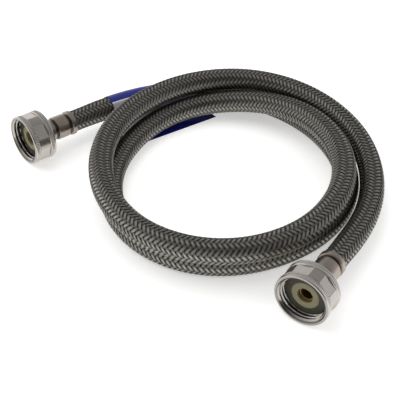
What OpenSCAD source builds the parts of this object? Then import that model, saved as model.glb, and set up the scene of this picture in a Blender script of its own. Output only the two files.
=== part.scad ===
// Braided supply line: a stainless-braided hose with a swivel nut at each end,
// lying in a loose coil. Millimetres, +Z up, the surface it lies on at Z = 0.

/* [Hose] */
// Outside diameter over the braid
hose_od = 14.5; // [13.8:0.1:14.5]
// Wall of the woven wire sleeve
braid_wall = 0.6; // [0.4:0.05:0.7]
// Wall of the fibre reinforcement under the wire
ply_wall = 0.3; // [0.2:0.05:0.4]
// Bore of the rubber tube
tube_bore = 9.5; // [8.6:0.1:9.8]

/* [Swivel nut] */
// Diameter of the round collars at both ends of the nut
nut_od = 31; // [30.6:0.1:31.2]
// Distance across the six flats
nut_flats = 29; // [28.6:0.1:29.4]
// Length of the nut along its axis
nut_len = 15; // [14.8:0.1:15.6]
// Minor diameter of the internal 3/4 inch hose thread
thread_minor = 24.6; // [24.4:0.1:24.8]
// Length of the threaded wall in front of the washer
thread_len = 3.1; // [2.8:0.1:3.1]

/* [Seal and stem] */
// Outside diameter of the flat rubber washer
washer_od = 24; // [23.4:0.1:24]
// Hole in the washer
washer_hole = 8.8; // [8:0.1:10]
// Thickness of the washer
washer_t = 2; // [1.6:0.1:2]
// Waterway through the stem
stem_bore = 7; // [6:0.1:7.2]
// How far the nut slides forward until its shoulder meets the flange
nut_float = 5; // [4:0.1:5.3]

/* [Ferrule] */
// Length of the crimped sleeve
ferrule_len = 18; // [17.5:0.1:18]
// Diameter of the ring at the hose's end of the sleeve
ferrule_od = 15.8; // [15.8:0.1:16.2]
// Diameter between the two crimps
band_od = 15; // [14.8:0.1:15.4]
// Diameter at the bottom of the crimp grooves
crimp_od = 13.8; // [13.6:0.1:14]

/* [Label] */
// Thickness of one layer of the label
label_t = 0.15; // [0.1:0.05:0.15]

/* [Hidden] */
$fn = 64;

// The hose's route from the left ferrule to the right one: down to the surface,
// one turn flat on it, then a second turn on top of the first, and down outside.
route = [
    [-58, 83, 14.1], [-27, 109, 12], [5, 124, 8.5], [38, 125, 7.5], [69, 113, 7.5],
    [95, 89, 7.5], [111, 57, 7.5], [113, 23, 7.5], [99, -10, 7.5], [72, -33, 7.5],
    [38, -44, 7.5], [5, -38, 7.5], [-21, -16, 7.5], [-34, 17, 7.5], [-30, 53, 7.5],
    [-13, 86, 8], [15, 105, 10.5], [49, 106, 14.5], [82, 91, 19.5], [103, 62, 22],
    [110, 26, 22.5], [100, -9, 22.5], [77, -36, 22.5], [44, -50, 22.5], [11, -46, 22],
    [-18, -27, 22], [-35, 4, 22], [-39, 40, 22], [-30, 74, 22.5], [-7, 101, 23],
    [23, 117, 23], [57, 119, 23], [89, 106, 21.5], [112, 83, 18.5], [125, 53, 15.5],
    [126, 19, 13], [116, -13, 12], [95, -44, 14.1],
];
spans = len(route) - 1;
rings_per_span = 2;
sides = 10;

// How far the hose reaches into the ferrule, and how the crimp narrows it
tail = 20;
tail_squeeze = 0.92;
mouth_squeeze = 0.95;

// Radial gap between the layers of the hose
layer_gap = 0.2;
braid_r = hose_od / 2;
ply_r = braid_r - braid_wall - layer_gap;
tube_r = ply_r - ply_wall - layer_gap;

// Cutting shapes run past the faces they open by "over", or by "skin" at the mouth.
// A coupling's own axis runs from the hose's end at 0 to the nut's open face
coupling_len = 40;
nut_z = coupling_len - nut_len;
shoulder_t = 1.6;
play = 0.1;
flange_t = 1.2;
flange_r = 11.6;
flange_z = nut_z + shoulder_t + nut_float + 4 * play;
washer_z = flange_z + flange_t + play;
thread_z = washer_z + washer_t + 2 * play;
relief_r = 13.3;
over = 0.5;
skin = 0.01;
mouth_r = 13.7;
shoulder_bore_r = 6.6;
neck_r = 6;
front_collar = 3.5;
back_collar = 4;
collar_edge = 0.6;
flats_sink = 0.1;
flats_inset = 1;
back_round = 1.2;
land_turn_left = 42;
land_turn_right = 46;

// Ferrule: where it starts and ends, its ring and crimp grooves, and its sheet
ferrule_end = 22.5;
ferrule_z = ferrule_end - ferrule_len;
end_ring = 3.5;
groove_w = 1.2;
band_w = 8.8;
hub_r = 7.3;
ferrule_bevel = 0.4;
ferrule_wall = 0.65;
ferrule_cap = 1;
cap_z = ferrule_end - ferrule_cap;

// Stem: the barbed shank inside the hose
shank_r = 3.95;
shank_end = 2;
barb_h = 0.5;
barb_pitch = 3.6;
barb_rise = 3;
barb_drop = 0.1;
barbs = 5;

// Label: where it grips the hose, in spans along the route, and its loose edge
label_spans = [0.62, 1, 1.5, 2, 2.4];
label_edge = [[-19, 74, 0], [33, 106, 0]];
label_clear = 0.15;
label_lift = 0.03;
layer_slit = 0.05;
flat_share = 0.45;
drop_share = 0.28;
hang_share = 0.4;
wrap_angles = [-40 : 20 : 280];

// Point of a smooth curve whose four nearest route points are a, b, c and d
function blend4(a, b, c, d, x) =
    (pow(1 - x, 3) * a + (3 * pow(x, 3) - 6 * x * x + 4) * b
    + (-3 * pow(x, 3) + 3 * x * x + 3 * x + 1) * c + pow(x, 3) * d) / 6;

// Route point k, carried on in a straight line past both ends
function route_at(k) =
    k < 0 ? 2 * route[0] - route[1]
    : k > spans ? 2 * route[spans] - route[spans - 1]
    : route[k];

// Centre of the hose u spans along the route
function centre(u) =
    let (k = min(floor(u), spans - 1), x = u - k)
    blend4(route_at(k - 1), route_at(k), route_at(k + 1), route_at(k + 2), x);

// The same, on the straight pieces that the hose is drawn with
function on_chord(u) =
    let (k = floor(u * rings_per_span), x = u * rings_per_span - k)
    (1 - x) * centre(k / rings_per_span) + x * centre((k + 1) / rings_per_span);

function unit(v) = v / norm(v);
left_dir = unit(route[1] - route[0]);
right_dir = unit(route[spans - 1] - route[spans]);

// Centres and widths of all the hose's rings, with a tail in each ferrule
centres = concat(
    [route[0] - tail * left_dir],
    [for (i = [0 : spans * rings_per_span]) centre(i / rings_per_span)],
    [route[spans] - tail * right_dir]);
last = len(centres) - 1;
function squeeze(i) =
    (i == 0 || i == last) ? tail_squeeze : (i == 1 || i == last - 1) ? mouth_squeeze : 1;

// One ring of points round the hose, square to its run, with a flat underneath
function ring(i, r) =
    let (
        run = unit(centres[min(i + 1, last)] - centres[max(i - 1, 0)]),
        side = unit([-run.y, run.x, 0]),
        up = cross(run, side)
    )
    [for (j = [0 : sides - 1])
        let (a = j * 360 / sides)
        centres[i] + squeeze(i) * r * (cos(a) * side + sin(a) * up)];

// Two triangles for each cell between rows i and i + 1 of a grid of points
function cells(rows, cols, first, flip) = [
    for (i = [0 : rows - 2], j = [0 : cols - 1])
        let (
            a = first + i * cols + j,
            b = first + i * cols + (j + 1) % cols,
            c = a + cols,
            d = b + cols
        )
        each flip ? [[a, c, b], [b, c, d]] : [[a, b, c], [b, d, c]]];

// Two triangles for each cell of the annular end at row i
function end_cells(i, inner, flip) = [
    for (j = [0 : sides - 1])
        let (
            a = i * sides + j,
            b = i * sides + (j + 1) % sides,
            c = inner + a,
            d = inner + b
        )
        each flip ? [[a, b, c], [b, d, c]] : [[a, c, b], [b, c, d]]];

module hose_layer(r_out, r_in) {
    rows = last + 1;
    inner = rows * sides;
    points = [
        for (i = [0 : last]) each ring(i, r_out),
        for (i = [0 : last]) each ring(i, r_in),
    ];
    faces = concat(
        cells(rows, sides, 0, false),
        cells(rows, sides, inner, true),
        end_cells(0, inner, false),
        end_cells(last, inner, true));
    polyhedron(points, faces);
}

module inner_tube() {
    color("#3a3a38") hose_layer(tube_r, tube_bore / 2);
}

module fibre_ply() {
    color("#d8d2c0") hose_layer(ply_r, ply_r - ply_wall);
}

module braid_sleeve() {
    color("#8a8580") hose_layer(braid_r, braid_r - braid_wall);
}

// Puts a coupling on the end of the hose, its axis in line with the run there
module on_hose_end(point, dir) {
    translate(point)
        rotate([0, 90 + asin(dir.z), atan2(dir.y, dir.x) + 180])
        children();
}

module nut(land_turn) {
    r = nut_od / 2;
    difference() {
        union() {
            // round front collar with a bevelled rim
            rotate_extrude()
                polygon([
                    [0, coupling_len - front_collar],
                    [r, coupling_len - front_collar],
                    [r, coupling_len - collar_edge],
                    [r - collar_edge, coupling_len],
                    [0, coupling_len],
                ]);
            // six flats between the collars
            intersection() {
                translate([0, 0, nut_z + flats_inset])
                    cylinder(h = nut_len - 2 * flats_inset, r = r - flats_sink);
                rotate(land_turn)
                    translate([0, 0, nut_z])
                    cylinder(h = nut_len, r = nut_flats / 2 / cos(30), $fn = 6);
            }
            // round back collar with a rounded rear edge
            rotate_extrude()
                union() {
                    translate([0, nut_z + back_round])
                        square([r, back_collar - back_round]);
                    translate([0, nut_z])
                        square([r - back_round, back_collar]);
                    translate([r - back_round, nut_z + back_round])
                        circle(r = back_round);
                }
        }
        // hole for the stem's neck
        translate([0, 0, nut_z - over])
            cylinder(h = nut_len, r = shoulder_bore_r);
        // room for the flange when the nut is drawn tight
        translate([0, 0, nut_z + shoulder_t])
            cylinder(h = thread_z - nut_z - shoulder_t, r = relief_r);
        // threaded wall at its minor diameter
        translate([0, 0, thread_z - over])
            cylinder(h = nut_len, r = thread_minor / 2);
        // lead-in at the mouth
        translate([0, 0, thread_z + thread_len])
            cylinder(h = coupling_len - thread_z - thread_len + skin,
                r1 = thread_minor / 2, r2 = mouth_r);
    }
}

module washer() {
    translate([0, 0, washer_z])
        difference() {
            cylinder(h = washer_t, r = washer_od / 2);
            translate([0, 0, -over])
                cylinder(h = washer_t + 2 * over, r = washer_hole / 2);
        }
}

// Turned in one piece: flange under the washer, neck, and barbs in the hose
module stem() {
    barb_z = [for (i = [0 : barbs - 1]) shank_end + i * barb_pitch];
    rotate_extrude()
        polygon(concat(
            [[stem_bore / 2, flange_z + flange_t],
             [stem_bore / 2, shank_end]],
            [for (z = barb_z) each [
                [shank_r, z],
                [shank_r + barb_h, z + barb_rise],
                [shank_r, z + barb_rise + barb_drop]]],
            [[shank_r, cap_z - 2 * play],
             [neck_r, cap_z - 2 * play],
             [neck_r, flange_z],
             [flange_r, flange_z],
             [flange_r, flange_z + flange_t]]));
}

module ferrule() {
    groove_1 = ferrule_z + end_ring;
    band_z = groove_1 + groove_w;
    groove_2 = band_z + band_w;
    hub_z = groove_2 + groove_w;
    end_r = ferrule_od / 2;
    band_r = band_od / 2;
    crimp_r = crimp_od / 2;
    e = ferrule_bevel;
    w = ferrule_wall;
    rotate_extrude()
        polygon([
            [end_r - w, ferrule_z],
            [end_r - e, ferrule_z],
            [end_r, ferrule_z + e],
            [end_r, groove_1 - e],
            [crimp_r, groove_1],
            [crimp_r, band_z],
            [band_r, band_z + e],
            [band_r, groove_2 - e],
            [crimp_r, groove_2],
            [crimp_r, hub_z],
            [hub_r, hub_z + e],
            [hub_r, ferrule_end - e],
            [hub_r - e, ferrule_end],
            [neck_r + play, ferrule_end],
            [neck_r + play, cap_z],
            [hub_r - w, cap_z],
            [hub_r - w, hub_z + w],
            [crimp_r - w, hub_z + e],
            [crimp_r - w, groove_2 - e],
            [band_r - w, groove_2 - w],
            [band_r - w, band_z + w],
            [crimp_r - w, band_z + e],
            [crimp_r - w, groove_1 - e],
            [end_r - w, groove_1 - w],
        ]);
}

// Cross-section of the label at one station: a strip that starts at the loose
// edge, goes over the hose and comes back under itself; s is -1 for its inner
// side and 1 for its outer side.
function label_row(i, s) =
    let (
        u = label_spans[i],
        c = on_chord(u),
        run = unit(on_chord(u + 1 / rings_per_span) - on_chord(u - 1 / rings_per_span)),
        side = unit([run.y, -run.x, 0]),
        up = cross(side, run),
        share = i / (len(label_spans) - 1),
        edge = (1 - share) * label_edge[0] + share * label_edge[1],
        foot = [c.x, c.y, 0],
        out = unit(edge - foot),
        r = braid_r + label_clear + (1 + s) * label_t / 2,
        low = label_lift + (1 - s) * label_t / 2,
        high = label_lift + label_t + layer_slit + (1 + s) * label_t / 2,
        reach = norm(edge - foot),
        flat = reach * flat_share,
        root = reach * drop_share,
        hang = hang_share * (c.z - braid_r - 2 * label_clear)
    )
    concat(
        [edge + [0, 0, high],
         foot + flat * out + [0, 0, high],
         foot + root * out + [0, 0, high + hang]],
        [for (a = wrap_angles)
            c + r * (cos(a) * side + sin(a) * up)],
        [foot + root * out + [0, 0, low + hang],
         foot + flat * out + [0, 0, low],
         edge + [0, 0, low]]);

module label_tag() {
    rows = len(label_spans);
    outer = [for (i = [0 : rows - 1]) label_row(i, 1)];
    inner = [for (i = [0 : rows - 1]) label_row(i, -1)];
    n = len(outer[0]);
    cols = 2 * n;
    points = [
        for (i = [0 : rows - 1])
            each concat(outer[i], [for (j = [n - 1 : -1 : 0]) inner[i][j]])];
    top = (rows - 1) * cols;
    ends = [
        for (j = [0 : n - 2])
            let (a = j, b = j + 1, c = cols - 1 - j, d = cols - 2 - j)
            each [[a, c, b], [b, c, d],
                  [top + a, top + b, top + c], [top + b, top + d, top + c]]];
    color("#24308c")
        polyhedron(points, concat(cells(rows, cols, 0, false), ends));
}

module left_nut() {
    color("#b9b3aa") on_hose_end(route[0], left_dir) nut(land_turn_left);
}

module left_washer() {
    color("#5c5840") on_hose_end(route[0], left_dir) washer();
}

module left_stem() {
    color("#b08d4a") on_hose_end(route[0], left_dir) stem();
}

module left_ferrule() {
    color("#a9a49d") on_hose_end(route[0], left_dir) ferrule();
}

module right_nut() {
    color("#b9b3aa") on_hose_end(route[spans], right_dir) nut(land_turn_right);
}

module right_washer() {
    color("#5c5840") on_hose_end(route[spans], right_dir) washer();
}

module right_stem() {
    color("#b08d4a") on_hose_end(route[spans], right_dir) stem();
}

module right_ferrule() {
    color("#a9a49d") on_hose_end(route[spans], right_dir) ferrule();
}

left_nut();
left_washer();
left_stem();
left_ferrule();
right_nut();
right_washer();
right_stem();
right_ferrule();
inner_tube();
fibre_ply();
braid_sleeve();
label_tag();
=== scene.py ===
"""Looks of a braided supply line: woven hose, swivel nuts, ferrules, seals and label."""

import math

import bpy
import numpy as np
from mathutils import Matrix, Vector


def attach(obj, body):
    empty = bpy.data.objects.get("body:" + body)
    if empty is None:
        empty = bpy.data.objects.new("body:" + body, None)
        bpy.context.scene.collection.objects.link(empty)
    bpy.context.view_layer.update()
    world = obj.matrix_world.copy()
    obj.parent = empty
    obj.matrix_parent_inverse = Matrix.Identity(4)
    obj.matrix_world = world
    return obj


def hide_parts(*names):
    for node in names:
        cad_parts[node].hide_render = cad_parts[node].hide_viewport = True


bl_info = {
    "name": "Braided Supply Line",
    "version": (1, 0, 0),
    "blender": (4, 5, 0),
    "location": "3D View > Sidebar > Supply Line",
    "description": "Builds the woven hose, its couplings and its label round the CAD frame",
    "category": "Add Mesh",
}

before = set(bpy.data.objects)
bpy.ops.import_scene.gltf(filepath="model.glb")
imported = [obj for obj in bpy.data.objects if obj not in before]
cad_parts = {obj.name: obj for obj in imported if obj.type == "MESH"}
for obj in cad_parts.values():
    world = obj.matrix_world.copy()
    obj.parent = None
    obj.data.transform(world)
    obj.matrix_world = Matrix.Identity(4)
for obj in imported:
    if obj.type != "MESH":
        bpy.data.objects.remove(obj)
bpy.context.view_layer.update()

MM = 0.001
TURN = 2 * math.pi
SEED = 7

# The hose's route from the left ferrule to the right one, in metres
ROUTE = [
    (-0.058, 0.083, 0.0141), (-0.027, 0.109, 0.012), (0.005, 0.124, 0.0085),
    (0.038, 0.125, 0.0075), (0.069, 0.113, 0.0075), (0.095, 0.089, 0.0075),
    (0.111, 0.057, 0.0075), (0.113, 0.023, 0.0075), (0.099, -0.010, 0.0075),
    (0.072, -0.033, 0.0075), (0.038, -0.044, 0.0075), (0.005, -0.038, 0.0075),
    (-0.021, -0.016, 0.0075), (-0.034, 0.017, 0.0075), (-0.030, 0.053, 0.0075),
    (-0.013, 0.086, 0.008), (0.015, 0.105, 0.0105), (0.049, 0.106, 0.0145),
    (0.082, 0.091, 0.0195), (0.103, 0.062, 0.022), (0.110, 0.026, 0.0225),
    (0.100, -0.009, 0.0225), (0.077, -0.036, 0.0225), (0.044, -0.050, 0.0225),
    (0.011, -0.046, 0.022), (-0.018, -0.027, 0.022), (-0.035, 0.004, 0.022),
    (-0.039, 0.040, 0.022), (-0.030, 0.074, 0.0225), (-0.007, 0.101, 0.023),
    (0.023, 0.117, 0.023), (0.057, 0.119, 0.023), (0.089, 0.106, 0.0215),
    (0.112, 0.083, 0.0185), (0.125, 0.053, 0.0155), (0.126, 0.019, 0.013),
    (0.116, -0.013, 0.012), (0.095, -0.044, 0.0141),
]
SIDES = {"left": (ROUTE[0], ROUTE[1]), "right": (ROUTE[-1], ROUTE[-2])}

# Along a coupling's own axis, in millimetres: 0 is the hose's end, 40 the open face
MOUTH = 40.0
NUT_BACK = 25.0
SHOULDER = 1.6
WASHER_BACK = 33.3
WASHER_FRONT = 35.3
THREAD_START = 31.2
FLANGE = (32.0, 33.2)
FERRULE_START = 4.5
FERRULE_END = 22.5
GROOVES = (8.6, 18.6)

# Radii of a nut, in millimetres
COLLAR = 15.5
LAND = 15.25
FLAT = 14.5
RELIEF = 13.3
THREAD_TOP = 12.3
THREAD_DEPTH = 1.3
KNURL_DEPTH = 0.24
CHAMFER = 0.25

# Layers of the hose under its wires, in metres
YARN_WALL = 0.0003
YARN_CLEAR = 0.00004
TUBE_OUTER = 0.0059
TUBE_INNER = 0.00475
SQUEEZE = 0.05
SQUEEZE_LENGTH = 0.018

# The stage, in metres and watts: where each lamp stands and its power
AIM = (0.022, 0.019, 0)
LAMPS_AIM = (0.02, 0.02, 0.0)
LAMPS = {
    "key light": ((-0.5, 0.1, 1.1), 6.0),
    "fill light": ((0.75, -0.5, 0.9), 4.0),
    "back light": ((0.2, 1.0, 0.8), 3.0),
}
LAMP_WIDTH = 1.2
FLOOR_SIZE = 6.0


# ---------------------------------------------------------------- settings


class HoseSettings(bpy.types.PropertyGroup):
    """Sizes and colours of the hose"""

    diameter: bpy.props.FloatProperty(
        name="Diameter", description="Outside diameter over the wires",
        default=0.0145, unit="LENGTH")
    carriers: bpy.props.IntProperty(
        name="Carriers", description="Bands of wire that wind each way round", default=12)
    wires: bpy.props.IntProperty(
        name="Wires", description="Wires side by side in one band", default=7)
    wire: bpy.props.FloatProperty(
        name="Wire", description="Diameter of one wire", default=0.00021, unit="LENGTH")
    swing: bpy.props.FloatProperty(
        name="Swing", description="How far a band rises over another and dips under it",
        default=0.00017, unit="LENGTH")
    lead: bpy.props.FloatProperty(
        name="Lead", description="Length of hose in which a band goes once round",
        default=0.0336, unit="LENGTH")
    steps: bpy.props.IntProperty(
        name="Steps", description="Sections of a band in one lead", default=48)
    steel: bpy.props.FloatVectorProperty(
        name="Wire colour", description="Colour of the stainless wire",
        subtype="COLOR", size=3, default=(0.25, 0.24, 0.22))
    yarn: bpy.props.FloatVectorProperty(
        name="Yarn colour", description="Colour of the layer seen between the wires",
        subtype="COLOR", size=3, default=(0.022, 0.02, 0.018))


class CouplingSettings(bpy.types.PropertyGroup):
    """Sizes and colours of the couplings"""

    pitch: bpy.props.FloatProperty(
        name="Pitch", description="Pitch of the internal thread",
        default=0.00221, unit="LENGTH")
    teeth: bpy.props.IntProperty(
        name="Knurl", description="Ridges round each knurled collar", default=96)
    nickel: bpy.props.FloatVectorProperty(
        name="Nickel", description="Colour of the plated nuts",
        subtype="COLOR", size=3, default=(0.60, 0.56, 0.52))
    steel: bpy.props.FloatVectorProperty(
        name="Ferrule", description="Colour of the crimped sleeves",
        subtype="COLOR", size=3, default=(0.38, 0.325, 0.285))
    brass: bpy.props.FloatVectorProperty(
        name="Brass", description="Colour of the stems",
        subtype="COLOR", size=3, default=(0.42, 0.28, 0.11))
    seal: bpy.props.FloatVectorProperty(
        name="Washer", description="Colour of the rubber washers",
        subtype="COLOR", size=3, default=(0.20, 0.185, 0.105))


class LabelSettings(bpy.types.PropertyGroup):
    """Sizes and colours of the label"""

    thickness: bpy.props.FloatProperty(
        name="Thickness", description="Thickness of the label's film",
        default=0.00008, unit="LENGTH")
    blue: bpy.props.FloatVectorProperty(
        name="Bands", description="Colour of the printed bands",
        subtype="COLOR", size=3, default=(0.006, 0.012, 0.19))
    field: bpy.props.FloatVectorProperty(
        name="Field", description="Colour between the bands",
        subtype="COLOR", size=3, default=(0.42, 0.41, 0.46))


class StageSettings(bpy.types.PropertyGroup):
    """Camera, floor and light"""

    lens: bpy.props.FloatProperty(
        name="Lens", description="Focal length of the camera in millimetres", default=74.2)
    distance: bpy.props.FloatProperty(
        name="Distance", description="From the camera to the point it looks at",
        default=0.4992, unit="LENGTH")
    height: bpy.props.FloatProperty(
        name="Elevation", description="How far above the horizon the camera stands",
        default=math.radians(41), subtype="ANGLE")
    floor: bpy.props.FloatVectorProperty(
        name="Floor", description="Colour of the floor",
        subtype="COLOR", size=3, default=(0.90, 0.90, 0.89))


SETTINGS = {
    "supply_hose": HoseSettings,
    "supply_coupling": CouplingSettings,
    "supply_label": LabelSettings,
    "supply_stage": StageSettings,
}


# --------------------------------------------------------------- finishes


class Flow:
    """One socket of a material's nodes. Sums on it add Math nodes, node() adds any other."""

    def __init__(self, tree, socket=None):
        self.tree = tree
        self.socket = socket

    def feed(self, target, value):
        """Links a value to a socket, or sets it there if it is a plain number."""
        if isinstance(value, Flow):
            self.tree.links.new(value.socket, target)
        else:
            target.default_value = value

    def node(self, kind, settings=None, inputs=None, out=0):
        """Adds a node: settings first, then the values or links of its sockets."""
        new = self.tree.nodes.new(kind)
        for key, value in (settings or {}).items():
            setattr(new, key, value)
        for key, value in (inputs or {}).items():
            self.feed(new.inputs[key], value)
        return Flow(self.tree, new.outputs[out] if new.outputs else None)

    def sum(self, operation, *values, clamp=False):
        settings = {"operation": operation, "use_clamp": clamp}
        return self.node("ShaderNodeMath", settings, dict(enumerate(values)))

    def __add__(self, other):
        return self.sum("ADD", self, other)

    __radd__ = __add__

    def __mul__(self, other):
        return self.sum("MULTIPLY", self, other)

    __rmul__ = __mul__

    def __sub__(self, other):
        return self.sum("SUBTRACT", self, other)

    def __rsub__(self, other):
        return self.sum("SUBTRACT", other, self)

    def above(self, edge, soft):
        """0 below the edge and 1 above it, over a soft step."""
        return self.sum("MULTIPLY_ADD", self, 1 / soft, 0.5 - edge / soft, clamp=True)

    def blend(self, low, high):
        """A colour from low to high as this value goes from 0 to 1."""
        shades = [(*c, 1) if isinstance(c, tuple) else c for c in (low, high)]
        return self.node("ShaderNodeMix", {"data_type": "RGBA"},
                         {0: self, 6: shades[0], 7: shades[1]}, out=2)

    def part(self, axis):
        """One component of a vector."""
        return self.node("ShaderNodeSeparateXYZ", None, {0: self}, out=axis)

    def noise(self, scale, detail=3.0, vector=None):
        inputs = {"Scale": scale, "Detail": detail, "Vector": vector or self.place()}
        return self.node("ShaderNodeTexNoise", None, inputs)

    def place(self):
        """Position on the piece itself."""
        return self.node("ShaderNodeTexCoord", out=3)

    def chart(self):
        """Position on the piece's own flat chart."""
        return self.node("ShaderNodeTexCoord", out=2)

    def raised(self, height, depth):
        """The normal of a surface raised by height times depth."""
        inputs = {"Height": height, "Distance": depth, "Strength": 1.0}
        return self.node("ShaderNodeBump", None, inputs)


def finish_of(name, build):
    """A material whose surface is what build says for each socket, made once."""
    made = bpy.data.materials.get(name)
    if made:
        return made
    made = bpy.data.materials.new(name)
    made.use_nodes = True
    tree = made.node_tree
    tree.nodes.clear()
    start = Flow(tree)
    surface = start.node("ShaderNodeBsdfPrincipled", None, build(start))
    start.node("ShaderNodeOutputMaterial", None, {"Surface": surface})
    return made


def shade(colour, share):
    """A colour made darker or lighter."""
    return tuple(c * share for c in colour)


def wire_steel(start):
    """Stainless wire with painted light: a painted highlight on the crown of a band, painted
    shade towards its edges and where it dips under.
    """
    colour = tuple(bpy.context.scene.supply_hose.steel)
    grime = start.noise(90.0, 4.0)
    glint = start.noise(2600.0, 2.0)
    chart = start.chart()
    # Painted light from the chart: painted shade at the band's edges and where it dips
    # under, painted highlight on its crown; grime and glint noise are mixed in.
    painted_light_and_grime = chart.part(1) * (0.35 + chart.part(0) * 0.65)
    painted_light_and_grime = painted_light_and_grime * (0.7 + grime * 0.3 + glint * 0.3)
    return {
        "Base Color": painted_light_and_grime.blend(shade(colour, 0.45), shade(colour, 1.65)),
        "Metallic": 1.0,
        "Roughness": 0.36 + glint * 0.22,
    }


def yarn_finish(start):
    """Dark woven yarn under the wires."""
    colour = tuple(bpy.context.scene.supply_hose.yarn)
    chart = start.chart()
    along = chart.part(1) * 2400.0
    round_ = chart.part(0) * 24.0
    weave = start.sum("PINGPONG", along + round_, 1.0)
    cross = start.sum("PINGPONG", along - round_, 1.0)
    ply = weave * cross
    return {
        "Base Color": ply.blend(shade(colour, 0.6), shade(colour, 1.5)),
        "Roughness": 0.85,
        "Normal": start.raised(ply, 0.0001),
    }


def tube_rubber(start):
    """Black rubber with a faint bloom."""
    bloom = start.noise(500.0, 4.0)
    return {
        "Base Color": bloom.blend((0.012, 0.012, 0.012), (0.03, 0.03, 0.029)),
        "Roughness": 0.55 + bloom * 0.2,
        "Normal": start.raised(bloom, 0.00004),
    }


def nickel_plate(start):
    """Satin nickel, with painted shade in the bore, in the roots of the thread, at the mouth
    and on the lands.
    """
    colour = tuple(bpy.context.scene.supply_coupling.nickel)
    stain = start.noise(160.0, 5.0)
    brush = start.noise(1500.0, 2.0)
    outside = start.chart().part(0)
    # Painted light from the chart, with stain noise mixed in.
    painted_nut_light = outside * 0.75 + 0.05 + stain * 0.2
    return {
        "Base Color": painted_nut_light.blend(shade(colour, 0.1), shade(colour, 1.1)),
        "Metallic": 1.0,
        "Roughness": 0.17 + stain * 0.14,
        "Normal": start.raised(brush, 0.000008),
    }


def crimped_steel(start):
    """Brushed steel, with painted shade in the crimped grooves and on the inside, where the
    radius is under about 7 mm.
    """
    colour = tuple(bpy.context.scene.supply_coupling.steel)
    stain = start.noise(240.0, 5.0)
    brush = start.noise(1800.0, 2.0)
    # Painted shade: surfaces under about 7 mm radius, the grooves and the inside, are
    # darkened.
    groove = start.chart().part(0).above(6.95, 0.5)
    return {
        "Base Color": (groove * (0.8 + stain * 0.2)).blend(
            shade(colour, 0.22), shade(colour, 1.12)),
        "Metallic": 1.0,
        "Roughness": 0.22 + stain * 0.18,
        "Normal": start.raised(brush, 0.00001),
    }


def turned_brass(start):
    """Dull brass."""
    colour = tuple(bpy.context.scene.supply_coupling.brass)
    stain = start.noise(300.0, 5.0)
    return {
        "Base Color": stain.blend(shade(colour, 0.6), shade(colour, 1.1)),
        "Metallic": 1.0,
        "Roughness": 0.34 + stain * 0.2,
    }


def washer_rubber(start):
    """Olive rubber, with painted shade darkening it round its rim, outside about 8 mm
    radius.
    """
    colour = tuple(bpy.context.scene.supply_coupling.seal)
    bloom = start.noise(350.0, 5.0)
    grain = start.noise(2500.0, 2.0)
    clear_of_painted_shade = 1 - start.chart().part(0).above(7.9, 0.5)
    return {
        # Painted shade: the ring outside about 8 mm is darkened, the raised centre stays
        # lighter.
        "Base Color": (clear_of_painted_shade * 0.8 + bloom * 0.3 - 0.1).blend(
            shade(colour, 0.12), shade(colour, 1.3)),
        "Roughness": 0.5 + bloom * 0.25,
        "Normal": start.raised(grain, 0.00003),
    }


def label_print(start):
    """Printed film: blue bands, a pale field between them and a light rule."""
    look = bpy.context.scene.supply_label
    from_edge = start.chart().part(0) * 1000.0
    round_hose = start.chart().part(1) * 1000.0
    scuff = start.noise(220.0, 4.0)
    band = 1 - from_edge.above(9.0, 0.2) + round_hose.above(15.4, 0.2)
    band = band - round_hose.above(29.0, 0.2)
    rule = from_edge.above(9.0, 0.2) - from_edge.above(9.8, 0.2)
    rule = rule + round_hose.above(14.7, 0.2) - round_hose.above(15.4, 0.2)
    field = scuff.blend(shade(tuple(look.field), 0.9), shade(tuple(look.field), 1.1))
    ink = scuff.blend(shade(tuple(look.blue), 0.8), shade(tuple(look.blue), 1.3))
    ruled = rule.blend(field, (0.8, 0.8, 0.84))
    return {
        "Base Color": band.blend(ruled, ink),
        "Roughness": 0.28 + scuff * 0.2,
        "Normal": start.raised(scuff, 0.00006),
    }


def floor_finish(start):
    """Pale floor with a slight glow, which keeps the shadows light."""
    colour = tuple(bpy.context.scene.supply_stage.floor)
    return {
        "Base Color": (*colour, 1.0),
        "Roughness": 0.9,
        "Emission Color": (1.0, 1.0, 0.99, 1.0),
        "Emission Strength": 0.45,
    }


# ------------------------------------------------------------ mesh making


def made_piece(name, points, faces, material, body, sharp=math.radians(38)):
    """A piece of the object from points in metres and faces of equal length."""
    mesh = bpy.data.meshes.new(name)
    points = np.asarray(points, np.float32).reshape(-1, 3)
    corners = [np.asarray(f, np.int32) for f in faces]
    loops = np.concatenate([c.ravel() for c in corners])
    sizes = np.concatenate([np.full(len(c), c.shape[1], np.int32) for c in corners])
    mesh.vertices.add(len(points))
    mesh.vertices.foreach_set("co", points.ravel())
    mesh.loops.add(len(loops))
    mesh.loops.foreach_set("vertex_index", loops)
    mesh.polygons.add(len(sizes))
    mesh.polygons.foreach_set("loop_start", np.concatenate([[0], np.cumsum(sizes)[:-1]]))
    mesh.polygons.foreach_set("use_smooth", np.ones(len(sizes), bool))
    mesh.update(calc_edges=True)
    mesh.validate()
    if sharp:
        mesh.set_sharp_from_angle(angle=sharp)
    mesh.materials.append(material)
    piece = bpy.data.objects.new(name, mesh)
    bpy.context.scene.collection.objects.link(piece)
    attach(piece, body)
    return piece


def grid_faces(rows, cols, loop_rows=False, loop_cols=True, first=0):
    """Quads between the rows of a grid of points, which may close either way."""
    i = np.arange(rows if loop_rows else rows - 1)[:, None]
    j = np.arange(cols if loop_cols else cols - 1)[None, :]
    a = i * cols + j
    b = i * cols + (j + 1) % cols
    c = (i + 1) % rows * cols + j
    d = (i + 1) % rows * cols + (j + 1) % cols
    return np.stack([a, b, d, c], -1).reshape(-1, 4) + first


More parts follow.
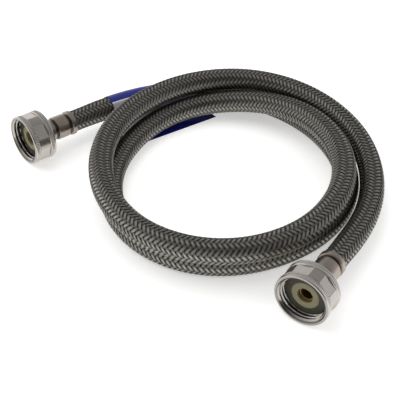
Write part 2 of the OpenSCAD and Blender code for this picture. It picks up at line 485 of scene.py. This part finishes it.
def chart_piece(piece, chart):
    """Gives a piece a flat chart, one pair of numbers for each of its points."""
    mesh = piece.data
    layer = mesh.uv_layers.new(name="chart")
    index = np.zeros(len(mesh.loops), np.int32)
    mesh.loops.foreach_get("vertex_index", index)
    layer.data.foreach_set("uv", np.asarray(chart, np.float32)[index].ravel())


def rounded(corners, steps=4):
    """A closed outline of (r, z) in which each corner (r, z, radius) is an arc."""
    line = []
    n = len(corners)
    for k, (r, z, radius) in enumerate(corners):
        here = np.array([r, z])
        if not radius:
            line.append(here)
            continue
        before = np.array(corners[k - 1][:2]) - here
        after = np.array(corners[(k + 1) % n][:2]) - here
        before /= np.linalg.norm(before)
        after /= np.linalg.norm(after)
        for t in np.linspace(0, 1, steps + 1):
            ease = (1 - t) ** 2 * before + t**2 * after
            line.append(here + radius * ease)
    return np.array(line)


def coupling_place(side):
    """Turns a coupling's own millimetres into metres in the row frame."""
    end, inner = (Vector(p) for p in SIDES[side])
    axis = (end - inner).normalized()
    tilt = math.acos(axis.z)
    heading = math.atan2(axis.y, axis.x)
    turn = Matrix.Rotation(heading, 4, "Z") @ Matrix.Rotation(tilt, 4, "Y")
    return Matrix.Translation(end) @ turn @ Matrix.Scale(MM, 4)


def placed(side, points):
    """Points of a coupling, moved to where it sits."""
    m = np.array(coupling_place(side))
    return points @ m[:3, :3].T + m[:3, 3]


def turned(name, side, radii, heights, material, body, sharp=math.radians(38)):
    """A closed ring of rows; each row of radii is the outline at one height."""
    rows, cols = radii.shape
    angle = np.arange(cols) * TURN / cols
    points = np.stack([
        radii * np.cos(angle),
        radii * np.sin(angle),
        np.broadcast_to(heights, radii.shape),
    ], -1).reshape(-1, 3)
    faces = grid_faces(rows, cols, loop_rows=True)
    return made_piece(name, placed(side, points), [faces], material, body, sharp)


def lathed(name, side, corners, material, body, cols=128, dent=None):
    """A turned part from its rounded outline, dented by dent(r, z, angle) if given."""
    line = rounded(corners)
    angle = np.arange(cols) * TURN / cols
    radii = np.repeat(line[:, :1], cols, 1)
    if dent is not None:
        radii = radii - dent(line[:, :1], line[:, 1:], angle[None, :])
    piece = turned(name, side, radii, line[:, 1:], material, body)
    chart_piece(piece, np.repeat(line, cols, 0))
    return piece


# --------------------------------------------------------------- the hose


class Run:
    """The hose's centreline by length, with a straight piece inside each ferrule."""

    tail = 0.006

    def __init__(self):
        knots = np.array(ROUTE)
        knots = np.vstack([2 * knots[0] - knots[1], knots, 2 * knots[-1] - knots[-2]])
        x = np.linspace(0, 1, 100, endpoint=False)[:, None]
        weights = [
            (1 - x) ** 3,
            3 * x**3 - 6 * x**2 + 4,
            -3 * x**3 + 3 * x**2 + 3 * x + 1,
            x**3,
        ]
        spans = [
            sum(w * knots[k + n] for n, w in enumerate(weights)) / 6
            for k in range(len(ROUTE) - 1)
        ]
        line = np.vstack([*spans, ROUTE[-1]])
        first = line[0] - line[1]
        last = line[-1] - line[-2]
        head = line[0] + self.tail * first / np.linalg.norm(first)
        foot = line[-1] + self.tail * last / np.linalg.norm(last)
        self.line = np.vstack([head, line, foot])
        steps = np.linalg.norm(np.diff(self.line, axis=0), axis=1)
        self.along = np.concatenate([[0], np.cumsum(steps)]) - self.tail
        self.length = self.along[-1] - self.tail
        self.heading = np.gradient(self.line, self.along, axis=0)

    def between(self, table, s):
        """Rows of a table of points, read at lengths s along the line."""
        return np.stack([np.interp(s, self.along, table[:, k]) for k in range(3)], -1)

    def at(self, s, radius, angle):
        """Points at a radius and an angle round the centreline, s along it."""
        centre = self.between(self.line, s)
        run = self.between(self.heading, s)
        run /= np.linalg.norm(run, axis=-1, keepdims=True)
        side = np.stack([-run[..., 1], run[..., 0], np.zeros(run.shape[:-1])], -1)
        side /= np.linalg.norm(side, axis=-1, keepdims=True)
        up = np.cross(run, side)
        out = np.cos(angle)[..., None] * side + np.sin(angle)[..., None] * up
        return centre + radius[..., None] * out

    def squeeze(self, s):
        """The hose narrows by a twentieth where it goes into a ferrule."""
        near = np.minimum(s, self.length - s)
        share = np.clip(near / SQUEEZE_LENGTH, 0, 1)
        return 1 - SQUEEZE + SQUEEZE * share * share * (3 - 2 * share)


def tube_mesh(run, outer, inner, rings, cols):
    """Points, faces and chart of a hollow tube along the hose."""
    s = np.linspace(-run.tail, run.length + run.tail, rings)[:, None]
    angle = (np.arange(cols) * TURN / cols)[None, :]
    s, angle = np.broadcast_arrays(s, angle)
    walls = [run.at(s, r * run.squeeze(s), angle) for r in (outer, inner)]
    points = np.concatenate([w.reshape(-1, 3) for w in walls])
    shell = grid_faces(rings, cols)
    bore = grid_faces(rings, cols, first=rings * cols)[:, ::-1]
    j = np.arange(cols)
    k = (j + 1) % cols
    low = np.stack([j, j + rings * cols, k + rings * cols, k], -1)
    top = low[:, ::-1] + (rings - 1) * cols
    chart = np.stack([angle / TURN, s], -1).reshape(-1, 2)
    return points, [np.vstack([shell, bore, low, top])], np.vstack([chart, chart])


def band_mesh(run, look, carrier, way, drift):
    """One band of wires: way is 1 or -1, and it rides over two bands and under two."""
    radius = look.diameter / 2 - look.wire / 2 - look.swing
    pace = TURN / look.lead
    slant = math.atan(radius * pace)
    step = look.lead / look.steps
    count = int((run.length + 2 * run.tail) / step)
    s = np.linspace(-run.tail, run.length + run.tail, count)[:, None]
    half = look.wires * look.wire / 2
    across = np.linspace(-half, half, 2 * look.wires + 1)
    crest = np.where(np.arange(len(across)) % 2 == 1, look.wire * 0.5, look.wire * 0.16)
    across = np.concatenate([across, [half * 0.97, -half * 0.97]])
    crest = np.concatenate([crest, [-look.wire * 0.45, -look.wire * 0.45]])
    start = carrier * TURN / look.carriers
    sway = drift(s)
    place = s - way * (across[None, :] + sway) * math.sin(slant)
    angle = start + way * pace * s + (across[None, :] + sway) * math.cos(slant) / radius
    place = np.clip(place, -run.tail, run.length + run.tail)
    other = look.carriers * (angle / TURN + way * place / look.lead)
    over = np.cos(math.pi / 2 * (carrier + other - 0.5)) * way
    lift = np.clip(over * 1.5, -1, 1) * look.swing
    reach = (radius + lift + crest[None, :]) * run.squeeze(place)
    points = run.at(place, reach, angle)
    cols = len(across)
    # The chart carries painted light for the wire: the first number gives painted shade
    # towards the band's edges, the second a painted highlight on the crown and 0 where the
    # band dips under.
    edge = 1 - (across / half)[None, :] ** 2
    top = 0.5 + 0.5 * np.cos(math.pi * np.clip(1 - over, 0, 2) / 1.2)
    chart = np.stack([np.broadcast_to(edge, top.shape), np.where(over > -0.2, top, 0)], -1)
    faces = grid_faces(count, cols)
    caps = np.stack([np.arange(cols)[::-1], (count - 1) * cols + np.arange(cols)])
    return points.reshape(-1, 3), faces, caps, chart.reshape(-1, 2)


def wander(rng):
    """A slow random sway of a band to either side, a few hundredths of a millimetre."""
    waves = rng.uniform(30, 260, 5)
    phases = rng.uniform(0, TURN, 5)
    sizes = rng.uniform(0.2, 1, 5) * 0.00004

    def sway(s):
        return sum(a * np.sin(w * s + p) for a, w, p in zip(sizes, waves, phases))

    return sway


# ---------------------------------------------------------- the couplings


def knurl(angle, teeth):
    """Ridges with flat tops, from 0 at a top to 1 in a groove."""
    wave = np.abs((angle * teeth / TURN) % 1 * 2 - 1)
    return np.clip(wave * 1.6 - 0.3, 0, 1)


def nut_rows(look, land_turn):
    """Radii, heights and painted light of a swivel nut's rows, from its bore round and back:
    painted shade on the lands, the front bevel, the mouth, the thread and the bore.
    """
    cols = look.teeth * 6
    angle = np.arange(cols) * TURN / cols
    flat = FLAT / np.cos((angle - land_turn) % (TURN / 6) - TURN / 12)
    land = np.minimum(flat, LAND)
    ridge = knurl(angle, look.teeth) * KNURL_DEPTH
    rows = []

    def row(z, r, painted_nut_light=1.0):
        # Painted shade: a quarter darker where the radius lies between 15.15 and 15.35 mm,
        # which takes in the lands between the flats.
        painted_nut_light = painted_nut_light - 0.25 * (np.asarray(r) < 15.35) * (np.asarray(r) > 15.15)
        rows.append((z, *(np.broadcast_to(np.asarray(v, float), cols) for v in (r, painted_nut_light))))

    def arc(z, r, size, start, stop, steps=5):
        for t in np.linspace(start, stop, steps):
            row(z + size * math.sin(t), r + size * math.cos(t))

    quarter = math.pi / 2
    row(NUT_BACK + 0.3, 6.6)
    row(NUT_BACK, 6.9)
    row(NUT_BACK, 13.0)
    arc(NUT_BACK + 1.2, 14.3, 1.2, -quarter, 0, 7)
    for z, depth in ((26.5, 0), (26.7, 1), (28.4, 1), (28.6, 0)):
        row(z, COLLAR - depth * ridge)
    row(28.75, 15.45)
    row(28.9, 15.3)
    row(29.05, land - CHAMFER)
    row(29.3, land - CHAMFER)
    row(29.45, land)
    row(36.1, land)
    row(36.25, land - CHAMFER)
    row(36.45, land - CHAMFER)
    row(36.6, 15.3)
    row(36.75, 15.45)
    for z, depth in ((36.9, 0), (37.1, 1), (38.9, 1), (39.1, 0)):
        row(z, COLLAR - depth * ridge)
    # Painted shade on the front bevel, darker towards the mouth, and darker still on the
    # mouth's rim.
    for t in np.linspace(0, quarter, 5):
        row(39.4 + 0.6 * math.sin(t), 14.9 + 0.6 * math.cos(t), 1 - 0.5 * t / quarter)
    row(MOUTH, 14.3, 0.4)
    row(39.95, 14.05, 0.3)
    row(39.75, 13.9, 0.2)
    pitch = look.pitch / MM
    rows_per_pitch = 14
    # The thread carries painted shade, darkest in its roots.
    for z in np.arange(39.5, THREAD_START, -pitch / rows_per_pitch):
        phase = (z / pitch + angle / TURN) % 1
        depth = np.clip(np.abs(phase * 2 - 1) * 1.7 - 0.35, 0, 1)
        r = THREAD_TOP + THREAD_DEPTH * depth * np.clip((z - THREAD_START) / 0.9, 0, 1)
        row(z, np.maximum(r, 13.8 - (39.6 - z) * 0.9), 0.75 - 0.75 * depth)
    # The relief and the bore behind the thread are painted black as shade.
    row(THREAD_START - 0.1, 12.5, 0)
    row(THREAD_START - 0.1, RELIEF, 0)
    row(NUT_BACK + SHOULDER + 0.3, RELIEF, 0)
    row(NUT_BACK + SHOULDER, 13.0, 0)
    row(NUT_BACK + SHOULDER, 6.8, 0)
    row(NUT_BACK + SHOULDER - 0.2, 6.6, 0)
    heights, radii, painted_nut_light = (list(column) for column in zip(*rows))
    return np.array(radii), np.array(heights)[:, None], np.array(painted_nut_light)


WASHER_OUTLINE = [
    (4.4, WASHER_BACK, 0.25), (12.0, WASHER_BACK, 0.3), (12.0, WASHER_FRONT - 0.35, 0.2),
    (8.1, WASHER_FRONT - 0.35, 0.25), (7.6, WASHER_FRONT, 0.3), (4.4, WASHER_FRONT, 0.35),
]

BARB = 3.6
STEM_OUTLINE = [
    (3.5, FLANGE[1], 0.25), (3.5, 2.0, 0.2),
    *(
        corner
        for k in range(5)
        for corner in (
            (3.95, 2 + k * BARB, 0.0),
            (4.45, 2 + k * BARB + 3.0, 0.1),
            (3.95, 2 + k * BARB + 3.1, 0.0),
        )
    ),
    (3.95, 21.3, 0.0), (6.0, 21.3, 0.15), (6.0, FLANGE[0], 0.2),
    (11.6, FLANGE[0], 0.2), (11.6, FLANGE[1], 0.3),
]

FERRULE_OUTLINE = [
    (7.25, FERRULE_START, 0.15), (7.9, FERRULE_START, 0.35), (7.9, 7.5, 0.4),
    (6.6, 7.9, 0.2), (6.6, 9.2, 0.2), (7.5, 9.7, 0.5), (7.5, 17.5, 0.5), (6.45, 17.9, 0.2),
    (6.45, 19.2, 0.2), (7.3, 19.7, 0.4), (7.3, FERRULE_END, 0.7), (6.05, FERRULE_END, 0.1),
    (6.05, 21.5, 0.0), (6.65, 21.5, 0.2), (6.65, 19.9, 0.2), (6.1, 19.6, 0.1),
    (6.1, 17.5, 0.1), (6.85, 17.1, 0.2), (6.85, 10.1, 0.2), (6.2, 9.7, 0.1),
    (6.2, 7.5, 0.1), (7.25, 7.1, 0.2),
]


def crimp_dent(r, z, angle):
    """Marks of the eight crimping jaws: the outside is a little flatter under each."""
    jaw = 0.5 - 0.5 * np.cos(angle * 8)
    outside = np.clip((r - 6.4) / 0.3, 0, 1)
    groove = sum(np.exp(-((z - place) / 0.9) ** 2) for place in GROOVES)
    return outside * jaw * (0.05 + 0.2 * groove)


# --------------------------------------------------------------- the label


LABEL_SPANS = (0.62, 2.4)
LABEL_EDGE = ((-0.019, 0.074), (0.033, 0.106))


def label_mesh(run, look):
    """Points, faces and chart of the film: loose edge, over the hose and back under."""
    stations = 33
    grip = 0.0145 / 2 + 0.0003
    layer = look.thickness
    spans = np.linspace(*LABEL_SPANS, stations)
    rows, charts = [], []
    arc = np.radians(np.arange(-62, 271, 9.0))
    fall = np.linspace(0, 1, 7)[1:-1, None]
    ease = fall * fall * (3 - 2 * fall)
    out = np.linspace(1, 0.45, 6)[:, None]
    for span in spans:
        share = (span - LABEL_SPANS[0]) / (LABEL_SPANS[1] - LABEL_SPANS[0])
        here = 1 + round(span * 100)
        centre = run.line[here]
        way = run.heading[here] / np.linalg.norm(run.heading[here])
        side = np.array([way[1], -way[0], 0])
        side /= np.linalg.norm(side)
        up = np.cross(side, way)
        edge = (1 - share) * np.array(LABEL_EDGE[0]) + share * np.array(LABEL_EDGE[1])
        foot = np.array([*centre[:2], 0])
        reach = np.array([*edge, 0]) - foot
        top = np.array([0, 0, 0.00006 + 1.6 * layer])
        low = np.array([0, 0, 0.00006 + 0.5 * layer])
        spread = foot + out * reach
        flat = foot + 0.45 * reach
        over = centre + grip * (np.cos(arc)[:, None] * side + np.sin(arc)[:, None] * up)
        upper = (1 - fall) * (flat + top) + fall * over[0]
        upper[:, 2:] = (1 - ease * fall) * top[2] + ease * fall * over[0][2]
        under = (1 - fall) * over[-1] + fall * (flat + low)
        under[:, 2:] = (1 - ease) * over[-1][2] + ease * low[2]
        line = np.vstack([spread + top, upper, over, under, spread[::-1] + low])
        tangent = np.gradient(line, axis=0)
        normal = np.cross(tangent, way)
        normal *= layer / 2 / np.linalg.norm(normal, axis=1, keepdims=True)
        far = np.concatenate([[0], np.cumsum(np.linalg.norm(np.diff(line, axis=0), axis=1))])
        wrap = far - far[len(spread) + len(upper)]
        rows.append(np.vstack([line - normal, (line + normal)[::-1]]))
        charts.append(np.stack([np.r_[far, far[::-1]], np.r_[wrap, wrap[::-1]]], -1))
    cols = len(rows[0])
    faces = grid_faces(stations, cols)
    j = np.arange(cols // 2 - 1)
    ends = np.stack([j, cols - 1 - j, cols - 2 - j, j + 1], -1)
    far_ends = ends[:, ::-1] + (stations - 1) * cols
    closed = np.vstack([faces, ends, far_ends])[:, ::-1]
    return np.vstack(rows), [closed], np.vstack(charts)


# -------------------------------------------------------------- operators


class SUPPLY_OT_stage(bpy.types.Operator):
    """Floor, soft light and camera"""

    bl_idname = "supply.stage"
    bl_label = "Stage"

    def execute(self, context):
        look = context.scene.supply_stage
        scene = context.scene
        scene.view_settings.view_transform = "Standard"
        back = Vector((0, -math.cos(look.height), math.sin(look.height)))
        camera = bpy.data.objects.new("camera", bpy.data.cameras.new("camera"))
        camera.data.lens = look.lens
        camera.data.clip_start = 0.01
        camera.location = Vector(AIM) + look.distance * back
        camera.rotation_euler = (math.pi / 2 - look.height, 0, 0)
        scene.collection.objects.link(camera)
        scene.camera = camera
        bpy.ops.mesh.primitive_plane_add(size=FLOOR_SIZE)
        floor = context.object
        floor.name = "floor"
        floor.data.materials.append(finish_of("floor paint", floor_finish))
        for name, (place, power) in LAMPS.items():
            lamp = bpy.data.lights.new(name, "AREA")
            lamp.energy = power
            lamp.size = LAMP_WIDTH
            light = bpy.data.objects.new(name, lamp)
            light.location = place
            light.visible_glossy = False
            aim_at = Vector(LAMPS_AIM) - light.location
            light.rotation_euler = aim_at.to_track_quat("-Z", "Y").to_euler()
            scene.collection.objects.link(light)
        world = bpy.data.worlds.new("studio")
        scene.world = world
        world.use_nodes = True
        tree = world.node_tree
        tree.nodes.clear()
        start = Flow(tree)
        way = start.node("ShaderNodeTexCoord", out=0)
        wall = way.part(2).above(0.3, 0.6).blend((1.0, 1.0, 1.0), (0.5, 0.5, 0.5))
        front = way.part(1).above(-0.4, 0.5)
        left = 1 - way.part(0).above(-0.2, 0.8)
        glow = 0.05 + front * 0.72 + left * 0.55
        sky = start.node("ShaderNodeBackground", None, {"Color": wall, "Strength": glow})
        start.node("ShaderNodeOutputWorld", None, {"Surface": sky})
        return {"FINISHED"}


class SUPPLY_OT_core(bpy.types.Operator):
    """Rubber tube and the dark yarn layer that shows between the wires"""

    bl_idname = "supply.core"
    bl_label = "Hose core"

    def execute(self, context):
        look = context.scene.supply_hose
        run = Run()
        outer = look.diameter / 2 - look.wire - look.swing * 2 - YARN_CLEAR
        material = finish_of("dark yarn", yarn_finish)
        points, faces, chart = tube_mesh(run, outer, outer - YARN_WALL, 700, 40)
        yarn = made_piece("hose_yarn", points, faces, material, "hose", None)
        chart_piece(yarn, chart)
        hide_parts("fibre_ply")
        material = finish_of("tube rubber", tube_rubber)
        points, faces, chart = tube_mesh(run, TUBE_OUTER, TUBE_INNER, 500, 32)
        tube = made_piece("hose_tube", points, faces, material, "hose", None)
        chart_piece(tube, chart)
        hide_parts("inner_tube")
        return {"FINISHED"}


class SUPPLY_OT_braid(bpy.types.Operator):
    """Woven sleeve: bands of wires wound both ways, over two and under two"""

    bl_idname = "supply.braid"
    bl_label = "Wire braid"

    def execute(self, context):
        look = context.scene.supply_hose
        run = Run()
        rng = np.random.default_rng(SEED)
        material = finish_of("stainless wire", wire_steel)
        for carrier in range(look.carriers):
            points, quads, caps, charts = [], [], [], []
            for way in (1, -1):
                p, f, c, chart = band_mesh(run, look, carrier, way, wander(rng))
                shift = sum(len(q) for q in points)
                points.append(p)
                quads.append(f + shift)
                caps.append(c + shift)
                charts.append(chart)
            name = f"braid_carriers_{carrier + 1:02d}"
            faces = [np.vstack(quads), np.vstack(caps)]
            piece = made_piece(
                name, np.vstack(points), faces, material, "hose", None)
            chart_piece(piece, np.vstack(charts))
            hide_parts("braid_sleeve")
        return {"FINISHED"}


class SUPPLY_OT_nuts(bpy.types.Operator):
    """Swivel nuts with six flats, knurled collars and an internal thread"""

    bl_idname = "supply.nuts"
    bl_label = "Swivel nuts"

    def execute(self, context):
        look = context.scene.supply_coupling
        material = finish_of("nickel plate", nickel_plate)
        for side, land in (("left", 42), ("right", 46)):
            radii, heights, painted_nut_light = nut_rows(look, math.radians(land))
            piece = turned(
                f"{side}_swivel_nut", side, radii, heights, material,
                f"{side}_swivel")
            # The chart carries the rows' painted light.
            chart_piece(piece, np.stack([painted_nut_light, radii], -1).reshape(-1, 2))
            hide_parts(f"{side}_nut")
        return {"FINISHED"}


class SUPPLY_OT_washers(bpy.types.Operator):
    """Flat rubber washers at the bottom of the nuts"""

    bl_idname = "supply.washers"
    bl_label = "Washers"

    def execute(self, context):
        material = finish_of("washer rubber", washer_rubber)
        for side in SIDES:
            piece = lathed(
                f"{side}_flat_washer", side, WASHER_OUTLINE, material,
                f"{side}_seal")
            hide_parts(f"{side}_washer")
        return {"FINISHED"}


class SUPPLY_OT_stems(bpy.types.Operator):
    """Brass stems: flange, neck and barbed shank"""

    bl_idname = "supply.stems"
    bl_label = "Stems"

    def execute(self, context):
        material = finish_of("turned brass", turned_brass)
        for side in SIDES:
            piece = lathed(
                f"{side}_barbed_stem", side, STEM_OUTLINE, material, "hose")
            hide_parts(f"{side}_stem")
        return {"FINISHED"}


class SUPPLY_OT_ferrules(bpy.types.Operator):
    """Sleeves crimped over the hose's ends in two grooves"""

    bl_idname = "supply.ferrules"
    bl_label = "Ferrules"

    def execute(self, context):
        material = finish_of("crimped steel", crimped_steel)
        for side in SIDES:
            piece = lathed(
                f"{side}_crimped_ferrule", side, FERRULE_OUTLINE, material,
                "hose", cols=192, dent=crimp_dent)
            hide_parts(f"{side}_ferrule")
        return {"FINISHED"}


class SUPPLY_OT_label(bpy.types.Operator):
    """Printed film folded round the hose, with its flag under the coil"""

    bl_idname = "supply.label"
    bl_label = "Label"

    def execute(self, context):
        look = context.scene.supply_label
        points, faces, chart = label_mesh(Run(), look)
        material = finish_of("printed film", label_print)
        piece = made_piece("wrap_label", points, faces, material, "hose")
        chart_piece(piece, chart)
        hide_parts("label_tag")
        return {"FINISHED"}


class SUPPLY_OT_declare(bpy.types.Operator):
    """Works out the hose's centreline and leaves it unused"""

    bl_idname = "supply.declare"
    bl_label = "Declare the hose"

    def execute(self, context):
        run = Run()
        return {"FINISHED"}


OPERATORS = (
    SUPPLY_OT_stage,
    SUPPLY_OT_core,
    SUPPLY_OT_braid,
    SUPPLY_OT_nuts,
    SUPPLY_OT_washers,
    SUPPLY_OT_stems,
    SUPPLY_OT_ferrules,
    SUPPLY_OT_label,
    SUPPLY_OT_declare,
)


class SUPPLY_PT_panel(bpy.types.Panel):
    """Lists the settings and the steps"""

    bl_idname = "SUPPLY_PT_panel"
    bl_label = "Supply Line"
    bl_space_type = "VIEW_3D"
    bl_region_type = "UI"
    bl_category = "Supply Line"

    def draw(self, context):
        for name, group in SETTINGS.items():
            box = self.layout.box()
            for key in group.__annotations__:
                box.prop(getattr(context.scene, name), key)
        for step in OPERATORS:
            self.layout.operator(step.bl_idname)


def register():
    for group in SETTINGS.values():
        bpy.utils.register_class(group)
    for name, group in SETTINGS.items():
        setattr(bpy.types.Scene, name, bpy.props.PointerProperty(type=group))
    for step in (*OPERATORS, SUPPLY_PT_panel):
        bpy.utils.register_class(step)


def unregister():
    for step in reversed((*OPERATORS, SUPPLY_PT_panel)):
        bpy.utils.unregister_class(step)
    for name, group in SETTINGS.items():
        delattr(bpy.types.Scene, name)
        bpy.utils.unregister_class(group)


def main():
    register()
    for step in OPERATORS:
        family, name = step.bl_idname.split(".")
        getattr(getattr(bpy.ops, family), name)()


if __name__ == "__main__":
    main()
